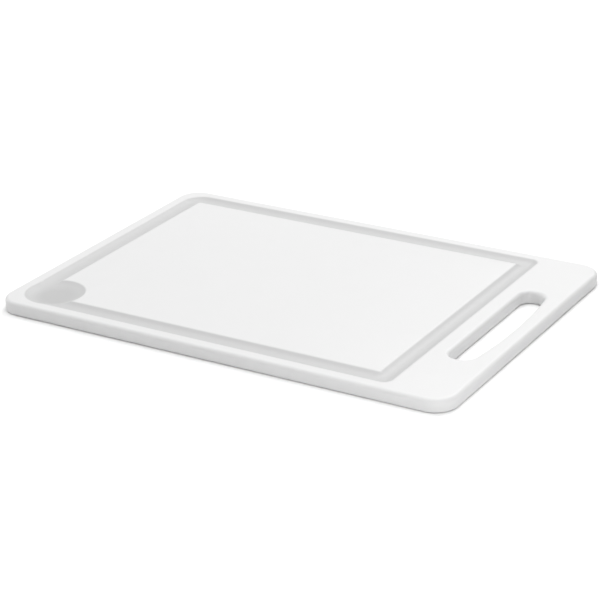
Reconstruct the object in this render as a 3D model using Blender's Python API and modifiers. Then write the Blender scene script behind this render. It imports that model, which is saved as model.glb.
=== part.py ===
"""Cutting board moulded in one piece from white polyethylene.

The board is a flat slab with rounded corners and edges. A shallow juice groove runs round the cutting
area, a deeper round well takes the groove's place in one corner, and a slot through the far end is the
handle.

Frame: metres, +Z up, the underside at Z = 0, the origin at the centre of the length and the width.
+X runs along the length towards the handle, and the well is in the -X, -Y corner.
"""

import math

import bmesh
import bpy

# The slab
LENGTH = 0.340
WIDTH = 0.240
THICKNESS = 0.009
CORNER_RADIUS = 0.016
EDGE_RADIUS = 0.0028

# The juice groove: distances are from the board's edges to the groove's outer lip
GROOVE_MARGIN = 0.0085
GROOVE_HANDLE_MARGIN = 0.044
GROOVE_WIDTH = 0.013
GROOVE_DEPTH = 0.0022
GROOVE_WALL_SPREAD = 0.005
GROOVE_BACK_RADIUS = 0.015
GROOVE_HANDLE_RADIUS = 0.0065
GROOVE_SHARP_RADIUS = 0.001
GROOVE_WELL_RADIUS = 0.026

# The well in the corner of the groove, whose rim just passes the groove's outer lip
WELL_MARGIN = GROOVE_MARGIN - 0.0003
WELL_RADIUS = 0.0205
WELL_DEPTH = 0.0035
WELL_FILLET = 0.0030

# The handle slot: its side towards the board's end bows out a little between its ends
SLOT_LENGTH = 0.118
SLOT_END_WIDTH = 0.0165
SLOT_MIDDLE_WIDTH = 0.0208
SLOT_INNER_MARGIN = 0.032
SLOT_END_RADIUS = 0.0078

# How finely round shapes are faceted
CORNER_STEPS = 8
WALL_STEPS = 4
EDGE_STEPS = 3
SLOT_SIDE_STEPS = 12
WELL_STEPS = 56
WELL_FILLET_STEPS = 4

# Room that each cutter keeps above the top face, and the largest gap between points that are welded
CUTTER_RISE = 0.002
WELD_DISTANCE = 0.00001

# Faces that meet at less than this angle are shaded as one smooth surface
SHARP_ANGLE = math.radians(35)

POLYETHYLENE_COLOUR = (0.90, 0.90, 0.90, 1.0)
POLYETHYLENE_ROUGHNESS = 0.45


def clear_scene():
    """Removes whatever objects the scene starts with."""
    for existing in list(bpy.data.objects):
        bpy.data.objects.remove(existing, do_unlink=True)


def new_collection(name):
    """A collection linked to the scene."""
    collection = bpy.data.collections.new(name)
    bpy.context.scene.collection.children.link(collection)
    return collection


def polyethylene():
    """Satin white polyethylene."""
    material = bpy.data.materials.new("white_polyethylene")
    material.use_nodes = True
    shader = material.node_tree.nodes["Principled BSDF"]
    shader.inputs["Base Color"].default_value = POLYETHYLENE_COLOUR
    shader.inputs["Roughness"].default_value = POLYETHYLENE_ROUGHNESS
    shader.inputs["Metallic"].default_value = 0.0
    return material


def rounded_outline(low, high, radii):
    """Points anticlockwise round a rectangle in XY from corner low to corner high.

    radii are the corner radii in the order of the points: low-left, low-right, high-right, high-left.
    """
    centres = (
        (low[0] + radii[0], low[1] + radii[0]),
        (high[0] - radii[1], low[1] + radii[1]),
        (high[0] - radii[2], high[1] - radii[2]),
        (low[0] + radii[3], high[1] - radii[3]),
    )
    points = []
    for corner, (centre, radius) in enumerate(zip(centres, radii)):
        start = math.pi + corner * math.pi / 2
        for step in range(CORNER_STEPS + 1):
            angle = start + step / CORNER_STEPS * math.pi / 2
            points.append((centre[0] + radius * math.cos(angle), centre[1] + radius * math.sin(angle)))
    return points


def board_outline():
    """The slab's outline."""
    corner = (LENGTH / 2, WIDTH / 2)
    return rounded_outline((-corner[0], -corner[1]), corner, (CORNER_RADIUS,) * 4)


def slot_outline():
    """The handle slot's outline, centred on the width of the board and widened towards its middle."""
    inner_side = LENGTH / 2 - SLOT_INNER_MARGIN
    outer_side = inner_side + SLOT_END_WIDTH
    end = SLOT_LENGTH / 2
    corners = rounded_outline((inner_side, -end), (outer_side, end), (SLOT_END_RADIUS,) * 4)
    straight = end - SLOT_END_RADIUS
    heights = [straight * (2 * step / SLOT_SIDE_STEPS - 1) for step in range(1, SLOT_SIDE_STEPS)]
    half = 2 * (CORNER_STEPS + 1)
    outline = corners[:half] + [(outer_side, y) for y in heights] + corners[half:]
    bow = SLOT_MIDDLE_WIDTH / SLOT_END_WIDTH - 1
    return [(x + bow * (1 - (y / end) ** 2) * (x - inner_side), y) for x, y in outline]


def groove_lip(inset):
    """The outline that lies inset inside the groove's outer lip."""
    low = (-LENGTH / 2 + GROOVE_MARGIN + inset, -WIDTH / 2 + GROOVE_MARGIN + inset)
    high = (LENGTH / 2 - GROOVE_HANDLE_MARGIN - inset, WIDTH / 2 - GROOVE_MARGIN - inset)
    if inset <= GROOVE_WIDTH / 2:
        radii = (
            GROOVE_WELL_RADIUS - inset,
            GROOVE_HANDLE_RADIUS - inset,
            GROOVE_HANDLE_RADIUS - inset,
            GROOVE_BACK_RADIUS - inset,
        )
    else:
        sharp = GROOVE_SHARP_RADIUS + GROOVE_WIDTH - inset
        radii = (sharp, sharp, sharp, GROOVE_BACK_RADIUS - inset)
    return rounded_outline(low, high, radii)


def closed_spline(curve, points):
    """Adds a closed straight-sided spline through points to the curve."""
    spline = curve.splines.new("POLY")
    spline.points.add(len(points) - 1)
    for target, (x, y) in zip(spline.points, points):
        target.co = (x, y, 0.0, 1.0)
    spline.use_cyclic_u = True


def mesh_from_curve(curve_object, name, collection):
    """Replaces a curve object by a mesh object with its caps welded on."""
    depsgraph = bpy.context.evaluated_depsgraph_get()
    mesh = bpy.data.meshes.new_from_object(curve_object.evaluated_get(depsgraph))
    welded = bmesh.new()
    welded.from_mesh(mesh)
    bmesh.ops.remove_doubles(welded, verts=welded.verts, dist=WELD_DISTANCE)
    bmesh.ops.recalc_face_normals(welded, faces=welded.faces)
    welded.to_mesh(mesh)
    welded.free()
    result = bpy.data.objects.new(name, mesh)
    result.matrix_world = curve_object.matrix_world
    collection.objects.link(result)
    bpy.data.objects.remove(curve_object)
    return result


def slab(collection):
    """The slab with its handle slot, all edges rounded by the curve's own bevel."""
    curve = bpy.data.curves.new("slab_outline", "CURVE")
    curve.dimensions = "2D"
    curve.fill_mode = "BOTH"
    curve.extrude = THICKNESS / 2 - EDGE_RADIUS
    curve.bevel_depth = EDGE_RADIUS
    curve.bevel_resolution = EDGE_STEPS
    curve.offset = -EDGE_RADIUS
    closed_spline(curve, board_outline())
    closed_spline(curve, slot_outline()[::-1])
    outline = bpy.data.objects.new("slab_outline", curve)
    outline.location.z = THICKNESS / 2
    collection.objects.link(outline)
    bpy.context.view_layer.update()
    return mesh_from_curve(outline, "board", collection)


def groove_depth_at(inset):
    """How deep the groove is at this inset from a lip: an arc that meets the flat floor smoothly."""
    arc_radius = (GROOVE_WALL_SPREAD**2 + GROOVE_DEPTH**2) / (2 * GROOVE_DEPTH)
    to_floor = GROOVE_WALL_SPREAD - inset
    return math.sqrt(arc_radius**2 - to_floor**2) - (arc_radius - GROOVE_DEPTH)


def groove_loops():
    """The groove cutter's loops in order round its cross-section: (outline, height) pairs."""
    steps = [step / WALL_STEPS * GROOVE_WALL_SPREAD for step in range(WALL_STEPS + 1)]
    top = THICKNESS + CUTTER_RISE
    outer = [(groove_lip(inset), THICKNESS - groove_depth_at(inset)) for inset in steps]
    inner = [
        (groove_lip(GROOVE_WIDTH - inset), THICKNESS - groove_depth_at(inset)) for inset in reversed(steps)
    ]
    return [(groove_lip(0.0), top), *outer, *inner, (groove_lip(GROOVE_WIDTH), top)]


def add_groove_cutter(collection):
    """Adds the groove's cutter, a closed ring lofted between the groove's nested outlines."""
    ring = bmesh.new()
    loops = [[ring.verts.new((x, y, height)) for x, y in outline] for outline, height in groove_loops()]
    for loop, following in zip(loops, loops[1:] + loops[:1]):
        for index in range(len(loop)):
            after = (index + 1) % len(loop)
            ring.faces.new((loop[index], loop[after], following[after], following[index]))
    bmesh.ops.recalc_face_normals(ring, faces=ring.faces)
    mesh = bpy.data.meshes.new("groove_cutter")
    ring.to_mesh(mesh)
    ring.free()
    collection.objects.link(bpy.data.objects.new("groove_cutter", mesh))


def add_well_cutter(collection):
    """Adds the well's cutter, a disc with a rounded bottom edge that stands in the corner of the groove."""
    height = WELL_DEPTH + CUTTER_RISE
    centre = (
        -LENGTH / 2 + WELL_MARGIN + WELL_RADIUS,
        -WIDTH / 2 + WELL_MARGIN + WELL_RADIUS,
        THICKNESS - WELL_DEPTH + height / 2,
    )
    bpy.ops.mesh.primitive_cylinder_add(vertices=WELL_STEPS, radius=WELL_RADIUS, depth=height, location=centre)
    cutter = bpy.context.object
    cutter.name = "well_cutter"
    for owner in list(cutter.users_collection):
        owner.objects.unlink(cutter)
    collection.objects.link(cutter)
    weights = cutter.data.attributes.new("bevel_weight_edge", "FLOAT", "EDGE")
    for edge in cutter.data.edges:
        ends = [cutter.data.vertices[index].co.z for index in edge.vertices]
        weights.data[edge.index].value = 1.0 if max(ends) < 0 else 0.0
    fillet = cutter.modifiers.new("fillet", "BEVEL")
    fillet.limit_method = "WEIGHT"
    fillet.width = WELL_FILLET
    fillet.segments = WELL_FILLET_STEPS


def cut(target, cutters):
    """Cuts every cutter of a collection out of the target at once and shows the cutters as wire guides."""
    for cutter in cutters.objects:
        cutter.hide_render = True
        cutter.display_type = "WIRE"
    difference = target.modifiers.new("recesses", "BOOLEAN")
    difference.operation = "DIFFERENCE"
    difference.solver = "EXACT"
    difference.operand_type = "COLLECTION"
    difference.collection = cutters


def build():
    """Makes the whole board."""
    clear_scene()
    parts = new_collection("cutting_board")
    cutters = new_collection("cutters")
    board = slab(parts)
    add_groove_cutter(cutters)
    add_well_cutter(cutters)
    cut(board, cutters)
    board.data.materials.append(polyethylene())
    board.data.shade_smooth()
    board.data.set_sharp_from_angle(angle=SHARP_ANGLE)


build()
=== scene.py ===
"""The looks of the moulded polyethylene cutting board: its fine surface, its material and the studio."""

import math

import bmesh
import bpy
import numpy as np
from mathutils import Matrix, Vector
from mathutils.geometry import delaunay_2d_cdt


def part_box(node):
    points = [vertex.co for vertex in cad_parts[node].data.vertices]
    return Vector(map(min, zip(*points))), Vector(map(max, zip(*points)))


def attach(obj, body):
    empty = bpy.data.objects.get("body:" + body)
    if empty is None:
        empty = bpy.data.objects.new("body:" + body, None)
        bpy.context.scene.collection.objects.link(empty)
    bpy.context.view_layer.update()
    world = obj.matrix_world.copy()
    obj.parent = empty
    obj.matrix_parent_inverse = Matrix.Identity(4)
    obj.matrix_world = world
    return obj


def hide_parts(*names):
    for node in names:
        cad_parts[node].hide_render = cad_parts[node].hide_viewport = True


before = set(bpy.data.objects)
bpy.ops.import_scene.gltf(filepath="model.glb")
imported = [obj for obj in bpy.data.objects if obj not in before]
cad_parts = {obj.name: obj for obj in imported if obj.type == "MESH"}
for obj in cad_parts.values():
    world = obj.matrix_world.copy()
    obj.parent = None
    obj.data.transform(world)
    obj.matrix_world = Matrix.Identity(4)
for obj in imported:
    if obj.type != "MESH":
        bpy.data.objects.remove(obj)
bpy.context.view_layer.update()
board_low, board_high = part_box("board")
TOP = board_high.z
MID_HEIGHT = (board_low.z + board_high.z) / 2

# The slab's corners and edges, in metres like every length below
CORNER_RADIUS = 0.016
UPPER_EDGE_RADIUS = 0.0028
LOWER_EDGE_RADIUS = 0.0012

# The juice groove: margins are from the board's edges to the groove's outer lip
GROOVE_MARGIN = 0.0085
GROOVE_HANDLE_MARGIN = 0.044
GROOVE_WIDTH = 0.013
GROOVE_DEPTH = 0.0022
GROOVE_BACK_RADIUS = 0.015
GROOVE_HANDLE_RADIUS = 0.0065
GROOVE_SHARP_RADIUS = 0.001
GROOVE_WELL_RADIUS = 0.026

# The well in the corner of the groove, whose rim just passes the groove's outer lip
WELL_MARGIN = GROOVE_MARGIN - 0.0003
WELL_RADIUS = 0.0205
WELL_DEPTH = 0.0038

# The walls of the groove and the well: each spreads from its lip to its floor, and the lip takes a share
# of the wall's curve. They start a little outside the lips that the sizes above give.
GROOVE_WALL_SPREAD = 0.0074
GROOVE_LIP_SHARE = 0.35
WELL_WALL_SPREAD = 0.014
WELL_LIP_SHARE = 0.12
LIP_REACH = 0.0012

# Where the groove and the well are within this of the same depth, one turns smoothly into the other. The
# blend shrinks to next to nothing where either has no depth.
RECESS_BLEND = 0.0008
SMALLEST_BLEND = 1e-9

# The recesses take their painted shade from this depth down
PAINTED_SHADE_DEPTH = 0.0004

# The handle slot: its side towards the board's end bows out a little between its ends
SLOT_LENGTH = 0.118
SLOT_END_WIDTH = 0.0165
SLOT_MIDDLE_WIDTH = 0.0208
SLOT_INNER_MARGIN = 0.032
SLOT_END_RADIUS = 0.0078

# How closely the mesh follows the surfaces
STRAIGHT_STEP = 0.004
CORNER_STEPS = 20
EDGE_STEPS = 10
LIP_STEPS = 7
FLOOR_STEPS = 14
WELL_RING_POINTS = 240
WELL_FLOOR_RINGS = 6

# A row of points this far inside a flat face's border keeps its smooth shading flat
SUPPORT_GAP = 0.0002

# The groove's own points stop this far from the well's rim
WELL_CLEARANCE = 3 * SUPPORT_GAP

# Points closer than these are taken as one, in the whole mesh and in the filling of a flat face
WELD_DISTANCE = 1e-6
FILL_TOLERANCE = 1e-7

# The output type of delaunay_2d_cdt that keeps the triangles inside its outlines
INSIDE_TRIANGLES = 1

# White polyethylene: colours of the faces and of their faint mottle, then the painted shade of the recesses
# and, darkest, of the well's floor
FACE_COLOUR = (0.74, 0.74, 0.74, 1.0)
MOTTLE_COLOUR = (0.7289, 0.7289, 0.7289, 1.0)
RECESS_PAINTED_SHADE = (0.56, 0.56, 0.56, 1.0)
WELL_PAINTED_SHADE = (0.5, 0.5, 0.5, 1.0)
ROUGHNESS = 0.5
REFRACTIVE_INDEX = 1.51
TRANSLUCENCY = 0.1
TRANSLUCENT_DEPTH = 0.002
EVEN_RADIUS = (1.0, 1.0, 1.0)

# Its textures: scales are features per metre
MOTTLE_SCALE = 60.0
MOTTLE_DETAIL = 3.0
GRAIN_SCALE = 2200.0
GRAIN_DETAIL = 2.0
GRAIN_HEIGHT = 0.00002
GRAIN_STRENGTH = 0.5

# The floor, which stays clear of the board by a gap that is too thin to see
FLOOR_SIZE = 8.0
FLOOR_GAP = 0.0002
FLOOR_COLOUR = (0.95, 0.95, 0.95, 1.0)
FLOOR_ROUGHNESS = 0.9
FLOOR_SHINE = 0.0

# The light that comes from all round
WORLD_COLOUR = (1.0, 1.0, 1.0, 1.0)
WORLD_STRENGTH = 0.20

# The camera's direction from the board, its roll, its distance and the point it looks at
CAMERA_AZIMUTH = math.radians(31.12)
CAMERA_ELEVATION = math.radians(23.33)
CAMERA_ROLL = math.radians(-1.34)
CAMERA_DISTANCE = 1.3951
CAMERA_TARGET = Vector((0.00225, -0.00819, 0.0))

# Its lens and sensor, in millimetres
CAMERA_LENS = 123.37
CAMERA_SENSOR = 36.0


def along(start, end, steps):
    """Numbers from start to end in equal steps, both ends included."""
    return [start + (end - start) * step / steps for step in range(steps + 1)]


def rounded_outline(low, high, radii):
    """Points anticlockwise round a rectangle with rounded corners, with points along its straight sides.

    radii are the corner radii in the order low-left, low-right, high-right, high-left.
    """
    centres = (
        (low[0] + radii[0], low[1] + radii[0]),
        (high[0] - radii[1], low[1] + radii[1]),
        (high[0] - radii[2], high[1] - radii[2]),
        (low[0] + radii[3], high[1] - radii[3]),
    )
    points = []
    for corner, (centre, radius) in enumerate(zip(centres, radii)):
        start = math.pi + corner * math.pi / 2
        for angle in along(start, start + math.pi / 2, CORNER_STEPS):
            point = np.array(centre) + radius * np.array((math.cos(angle), math.sin(angle)))
            points.extend(side_points(points, point))
            points.append(point)
    points.extend(side_points(points, points[0]))
    return np.array(points)


def side_points(points, end):
    """The points between the last of points and end, where that gap is a straight side."""
    if not points:
        return []
    count = int(np.linalg.norm(end - points[-1]) / STRAIGHT_STEP)
    return [points[-1] + (end - points[-1]) * step / (count + 1) for step in range(1, count + 1)]


def board_outline():
    """The slab's outline."""
    return rounded_outline(board_low[:2], board_high[:2], (CORNER_RADIUS,) * 4)


def slot_outline():
    """The handle slot's outline, whose side towards the board's end bows out."""
    inner_side = board_high.x - SLOT_INNER_MARGIN
    end = SLOT_LENGTH / 2
    outline = rounded_outline((inner_side, -end), (inner_side + SLOT_END_WIDTH, end), (SLOT_END_RADIUS,) * 4)
    bow = SLOT_MIDDLE_WIDTH / SLOT_END_WIDTH - 1
    outline[:, 0] += bow * (1 - (outline[:, 1] / end) ** 2) * (outline[:, 0] - inner_side)
    return outline


def offset(outline, distance):
    """The outline moved outwards by distance, square to itself."""
    ahead = np.roll(outline, -1, axis=0) - outline
    ahead /= np.linalg.norm(ahead, axis=1)[:, None]
    tangent = ahead + np.roll(ahead, 1, axis=0)
    tangent /= np.linalg.norm(tangent, axis=1)[:, None]
    return outline + distance * np.column_stack((tangent[:, 1], -tangent[:, 0]))


def groove_lips():
    """The low corner, high corner and corner radii of the groove's outer lip and of its inner lip."""
    low = np.array(board_low[:2]) + GROOVE_MARGIN
    high = np.array(board_high[:2]) - (GROOVE_HANDLE_MARGIN, GROOVE_MARGIN)
    outer_radii = (GROOVE_WELL_RADIUS, GROOVE_HANDLE_RADIUS, GROOVE_HANDLE_RADIUS, GROOVE_BACK_RADIUS)
    inner_radii = (GROOVE_SHARP_RADIUS,) * 3 + (GROOVE_BACK_RADIUS - GROOVE_WIDTH,)
    return (low, high, outer_radii), (low + GROOVE_WIDTH, high - GROOVE_WIDTH, inner_radii)


def lip_loop(lip, outset):
    """The groove lip's outline moved outwards by outset."""
    low, high, radii = lip
    return rounded_outline(low - outset, high + outset, [max(radius + outset, 0.0) for radius in radii])


def distance_to_lip(points, lip):
    """How far the points lie outside a lip's outline, negative inside it."""
    low, high, radii = lip
    from_centre = points - (low + high) / 2
    right = from_centre[:, 0] > 0
    upper = from_centre[:, 1] > 0
    radius = np.select([~right & ~upper, right & ~upper, right & upper], radii[:3], radii[3])
    past = np.abs(from_centre) - (high - low) / 2 + radius[:, None]
    return np.minimum(past.max(axis=1), 0) + np.linalg.norm(np.maximum(past, 0), axis=1) - radius


def wall(spread, depth, lip_share):
    """The circles of a recess's wall, a lip arc that turns into a floor arc: their angle and two radii."""
    both_radii = (spread**2 + depth**2) / (2 * depth)
    angle = 2 * math.atan2(depth, spread)
    return angle, both_radii * lip_share, both_radii * (1 - lip_share)


def wall_depth(inset, spread, depth, lip_share):
    """The recess's depth at each inset from where its wall starts."""
    angle, lip_radius, floor_radius = wall(spread, depth, lip_share)
    clipped = np.clip(inset, 0, spread)
    on_lip = lip_radius - np.sqrt(np.maximum(lip_radius**2 - clipped**2, 0))
    to_floor = np.minimum(spread - clipped, floor_radius)
    on_floor = depth - floor_radius + np.sqrt(floor_radius**2 - to_floor**2)
    return np.where(clipped < lip_radius * math.sin(angle), on_lip, on_floor)


def wall_insets(spread, depth, lip_share):
    """Insets from a lip that follow its wall's curve closely, with one more at each end of the wall."""
    angle, lip_radius, floor_radius = wall(spread, depth, lip_share)
    on_lip = [lip_radius * math.sin(turn) for turn in along(0, angle, LIP_STEPS)]
    on_floor = [spread - floor_radius * math.sin(turn) for turn in along(angle, 0, FLOOR_STEPS)[1:]]
    return [inset - LIP_REACH for inset in (-SUPPORT_GAP, *on_lip, *on_floor, spread + SUPPORT_GAP)]


def well_centre():
    """The well's middle, in plan."""
    return np.array(board_low[:2]) + WELL_MARGIN + WELL_RADIUS


def recess_depth(points):
    """How deep the recesses are at each point, in plan: a smooth maximum of the groove and the well."""
    outer, inner = groove_lips()
    groove_inset = np.minimum(-distance_to_lip(points, outer), distance_to_lip(points, inner)) + LIP_REACH
    groove = wall_depth(groove_inset, GROOVE_WALL_SPREAD, GROOVE_DEPTH, GROOVE_LIP_SHARE)
    well_inset = WELL_RADIUS + LIP_REACH - np.linalg.norm(points - well_centre(), axis=1)
    well = wall_depth(well_inset, WELL_WALL_SPREAD, WELL_DEPTH, WELL_LIP_SHARE)
    blend = np.maximum(np.minimum(RECESS_BLEND, np.minimum(groove, well)), SMALLEST_BLEND)
    overlap = np.maximum(1 - np.abs(groove - well) / blend, 0)
    return np.maximum(groove, well) + overlap**2 * blend / 4


def groove_points():
    """Points along the groove's walls, clear of the well."""
    outer, inner = groove_lips()
    insets = wall_insets(GROOVE_WALL_SPREAD, GROOVE_DEPTH, GROOVE_LIP_SHARE)
    loops = [lip_loop(outer, -inset) for inset in insets] + [lip_loop(inner, inset) for inset in insets]
    points = np.concatenate(loops)
    clear = WELL_RADIUS + LIP_REACH + WELL_CLEARANCE
    return points[np.linalg.norm(points - well_centre(), axis=1) > clear]


def well_points():
    """Rings of points down the well's wall and across its floor."""
    insets = wall_insets(WELL_WALL_SPREAD, WELL_DEPTH, WELL_LIP_SHARE)
    insets += along(insets[-1], WELL_RADIUS, WELL_FLOOR_RINGS)[1:-1]
    angles = np.array(along(0, 2 * math.pi, WELL_RING_POINTS)[:-1])
    circle = np.column_stack((np.cos(angles), np.sin(angles)))
    return np.concatenate([well_centre() + (WELL_RADIUS - inset) * circle for inset in insets])


def quarter_round(radius):
    """How far in from the side and how far from the flat face each point of a rounded edge lies."""
    return [
        (radius * (1 - math.sin(turn)), radius * (1 - math.cos(turn)))
        for turn in along(0, math.pi / 2, EDGE_STEPS)
    ]


def edge_loops(outline, side):
    """The loops of an edge that is rounded at its bottom and its top, from underside to top face.

    side is 1 for the slab's outer edge and -1 for the slot's, whose rounding spreads outwards.
    """
    lower = [(inset, board_low.z + height) for inset, height in quarter_round(LOWER_EDGE_RADIUS)]
    upper = [(inset, TOP - height) for inset, height in reversed(quarter_round(UPPER_EDGE_RADIUS))]
    return [(offset(outline, -side * inset), height) for inset, height in lower + upper]


def edge_faces(builder, loops):
    """Joins an edge's loops with four-sided faces."""
    rings = [[builder.verts.new((x, y, height)) for x, y in outline] for outline, height in loops]
    for ring, above in zip(rings, rings[1:]):
        for index in range(len(ring)):
            after = (index + 1) % len(ring)
            builder.faces.new((ring[index], ring[after], above[after], above[index]))


def flat_faces(builder, outline, hole, extra, height_at):
    """Fills the area between the outline and the hole with triangles, through the extra points as well."""
    points = np.concatenate((outline, hole, extra))
    fills = [list(range(len(outline))), list(range(len(outline), len(outline) + len(hole)))]
    places, _, triangles, _, _, sources = delaunay_2d_cdt(
        [Vector(point) for point in points], [], fills, INSIDE_TRIANGLES, FILL_TOLERANCE
    )
    flat = np.array([tuple(place) for place in places])
    verts = [builder.verts.new((x, y, z)) for (x, y), z in zip(flat, height_at(flat))]
    for corners, source in zip(triangles, sources):
        if source == [0]:  # inside the outline, the first fill, and not inside the hole, the second
            builder.faces.new([verts[corner] for corner in corners])


def support_loops(outline, hole):
    """Loops just inside a flat face's borders."""
    return [offset(outline, -SUPPORT_GAP), offset(hole, SUPPORT_GAP)]


def top_height(points):
    """The height of the top face at each point, in plan."""
    return TOP - recess_depth(points)


def underside_height(points):
    """The height of the flat underside at each point, in plan."""
    return np.full(len(points), board_low.z)


def board_mesh():
    """The whole board's surface as one closed fine mesh."""
    outer_edge = edge_loops(board_outline(), 1)
    slot_edge = edge_loops(slot_outline(), -1)
    builder = bmesh.new()
    edge_faces(builder, outer_edge)
    edge_faces(builder, slot_edge)
    outline, hole = outer_edge[-1][0], slot_edge[-1][0]
    inside = np.concatenate([*support_loops(outline, hole), groove_points(), well_points()])
    flat_faces(builder, outline, hole, inside, top_height)
    outline, hole = outer_edge[0][0], slot_edge[0][0]
    flat_faces(builder, outline, hole, np.concatenate(support_loops(outline, hole)), underside_height)
    bmesh.ops.remove_doubles(builder, verts=builder.verts, dist=WELD_DISTANCE)
    bmesh.ops.recalc_face_normals(builder, faces=builder.faces)
    mesh = bpy.data.meshes.new("moulded_board")
    builder.to_mesh(mesh)
    builder.free()
    mesh.shade_smooth()
    return mesh


def add_painted_shade_masks(mesh):
    """Stores on each vertex the masks for the painted shade: whether it lies in a recess, and how far it
    lies below the groove's floor.

    "recess" goes from 0 at a lip to 1 just below it, "well" from 0 at the groove's depth to 1 at the well's.
    """
    points = np.array([vertex.co for vertex in mesh.vertices])
    depth = np.where(points[:, 2] > MID_HEIGHT, recess_depth(points[:, :2]), 0)
    recess = np.clip(depth / PAINTED_SHADE_DEPTH, 0, 1)
    well = np.clip((depth - GROOVE_DEPTH) / (WELL_DEPTH - GROOVE_DEPTH), 0, 1)
    mesh.attributes.new("recess", "FLOAT", "POINT").data.foreach_set("value", recess)
    mesh.attributes.new("well", "FLOAT", "POINT").data.foreach_set("value", well)


def attribute(tree, name):
    """A vertex attribute's value."""
    node = tree.nodes.new("ShaderNodeAttribute")
    node.attribute_name = name
    return node.outputs["Fac"]


def noise(tree, scale, detail):
    """Noise fixed to the object."""
    place = tree.nodes.new("ShaderNodeTexCoord")
    node = tree.nodes.new("ShaderNodeTexNoise")
    node.inputs["Scale"].default_value = scale
    node.inputs["Detail"].default_value = detail
    tree.links.new(place.outputs["Object"], node.inputs["Vector"])
    return node.outputs["Fac"]


def colour_mix(tree, factor):
    """A node that goes from its colour A to its colour B as the factor goes from 0 to 1."""
    node = tree.nodes.new("ShaderNodeMix")
    node.data_type = "RGBA"
    tree.links.new(factor, node.inputs["Factor"])
    return node


def polyethylene_colour_and_painted_shade(tree):
    """Faintly mottled white, with painted shade that greys the recesses, darkest on the well's floor."""
    face = colour_mix(tree, noise(tree, MOTTLE_SCALE, MOTTLE_DETAIL))
    face.inputs["A"].default_value = FACE_COLOUR
    face.inputs["B"].default_value = MOTTLE_COLOUR
    # Painted shade: the recesses grey, darker down towards the well's floor
    recess = colour_mix(tree, attribute(tree, "well"))
    recess.inputs["A"].default_value = RECESS_PAINTED_SHADE
    recess.inputs["B"].default_value = WELL_PAINTED_SHADE
    whole = colour_mix(tree, attribute(tree, "recess"))
    tree.links.new(face.outputs["Result"], whole.inputs["A"])
    tree.links.new(recess.outputs["Result"], whole.inputs["B"])
    return whole.outputs["Result"]


def moulded_grain(tree):
    """The very fine grain that the mould leaves on every face."""
    bump = tree.nodes.new("ShaderNodeBump")
    bump.inputs["Distance"].default_value = GRAIN_HEIGHT
    bump.inputs["Strength"].default_value = GRAIN_STRENGTH
    tree.links.new(noise(tree, GRAIN_SCALE, GRAIN_DETAIL), bump.inputs["Height"])
    return bump.outputs["Normal"]


def polyethylene():
    """White polyethylene: satin, slightly translucent, with a fine moulded grain."""
    material = bpy.data.materials.new("white_polyethylene")
    material.use_nodes = True
    tree = material.node_tree
    shader = tree.nodes["Principled BSDF"]
    shader.inputs["Roughness"].default_value = ROUGHNESS
    shader.inputs["IOR"].default_value = REFRACTIVE_INDEX
    shader.inputs["Subsurface Weight"].default_value = TRANSLUCENCY
    shader.inputs["Subsurface Radius"].default_value = EVEN_RADIUS
    shader.inputs["Subsurface Scale"].default_value = TRANSLUCENT_DEPTH
    tree.links.new(polyethylene_colour_and_painted_shade(tree), shader.inputs["Base Color"])
    tree.links.new(moulded_grain(tree), shader.inputs["Normal"])
    return material


def moulded_board():
    """The board with its material."""
    mesh = board_mesh()
    add_painted_shade_masks(mesh)
    mesh.materials.append(polyethylene())
    board = bpy.data.objects.new("moulded_board", mesh)
    bpy.context.scene.collection.objects.link(board)
    return board


def floor():
    """A plain pale floor just under the board."""
    bpy.ops.mesh.primitive_plane_add(size=FLOOR_SIZE, location=(0, 0, board_low.z - FLOOR_GAP))
    plane = bpy.context.object
    plane.name = "floor"
    material = bpy.data.materials.new("pale_floor")
    material.use_nodes = True
    shader = material.node_tree.nodes["Principled BSDF"]
    shader.inputs["Base Color"].default_value = FLOOR_COLOUR
    shader.inputs["Roughness"].default_value = FLOOR_ROUGHNESS
    shader.inputs["Specular IOR Level"].default_value = FLOOR_SHINE
    plane.data.materials.append(material)


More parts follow.
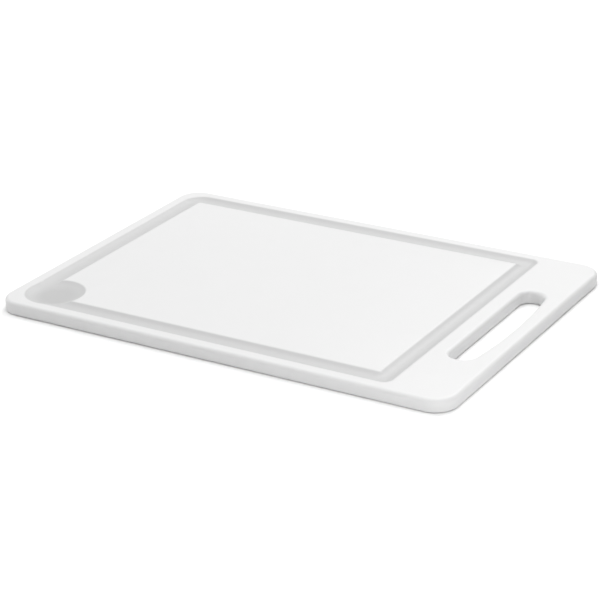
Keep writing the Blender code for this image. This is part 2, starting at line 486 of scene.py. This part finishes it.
def softbox(name, place, size, power):
    """A square area light that faces the board, its power in watts."""
    light = bpy.data.lights.new(name, "AREA")
    light.size = size
    light.energy = power
    lamp = bpy.data.objects.new(name, light)
    lamp.location = place
    lamp.rotation_euler = (-Vector(place)).to_track_quat("-Z", "Y").to_euler()
    bpy.context.scene.collection.objects.link(lamp)


def studio():
    """Weak light from all round, large softboxes above and behind, weaker ones at the left and in front."""
    world = bpy.data.worlds.new("studio")
    world.use_nodes = True
    background = world.node_tree.nodes["Background"]
    background.inputs["Color"].default_value = WORLD_COLOUR
    background.inputs["Strength"].default_value = WORLD_STRENGTH
    bpy.context.scene.world = world
    bpy.context.scene.view_settings.view_transform = "Standard"
    softbox("overhead_softbox", place=(0.0, 0.0, 1.8), size=1.6, power=22.5)
    softbox("back_softbox", place=(0.0, 1.3, 1.4), size=1.2, power=17.5)
    softbox("left_softbox", place=(-1.4, 0.0, 0.9), size=1.0, power=6.5)
    softbox("front_softbox", place=(0.0, -1.6, 0.35), size=0.8, power=1.6)
    softbox("corner_softbox", place=(0.42, -0.34, 0.12), size=0.16, power=0.48)


def camera():
    """A long lens looking down across the board's front right corner."""
    level = math.cos(CAMERA_ELEVATION)
    back = Vector((
        math.sin(CAMERA_AZIMUTH) * level,
        -math.cos(CAMERA_AZIMUTH) * level,
        math.sin(CAMERA_ELEVATION),
    ))
    right = Vector((math.cos(CAMERA_AZIMUTH), math.sin(CAMERA_AZIMUTH), 0.0))
    up = back.cross(right)
    rolled_right = math.cos(CAMERA_ROLL) * right + math.sin(CAMERA_ROLL) * up
    rolled_up = math.cos(CAMERA_ROLL) * up - math.sin(CAMERA_ROLL) * right
    view = bpy.data.objects.new("camera", bpy.data.cameras.new("camera"))
    view.data.lens = CAMERA_LENS
    view.data.sensor_width = CAMERA_SENSOR
    turn = Matrix((rolled_right, rolled_up, back)).transposed().to_4x4()
    view.matrix_world = Matrix.Translation(CAMERA_TARGET + back * CAMERA_DISTANCE) @ turn
    bpy.context.scene.collection.objects.link(view)
    bpy.context.scene.camera = view


board = moulded_board()
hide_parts("board")
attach(board, "root")

floor()
studio()
camera()
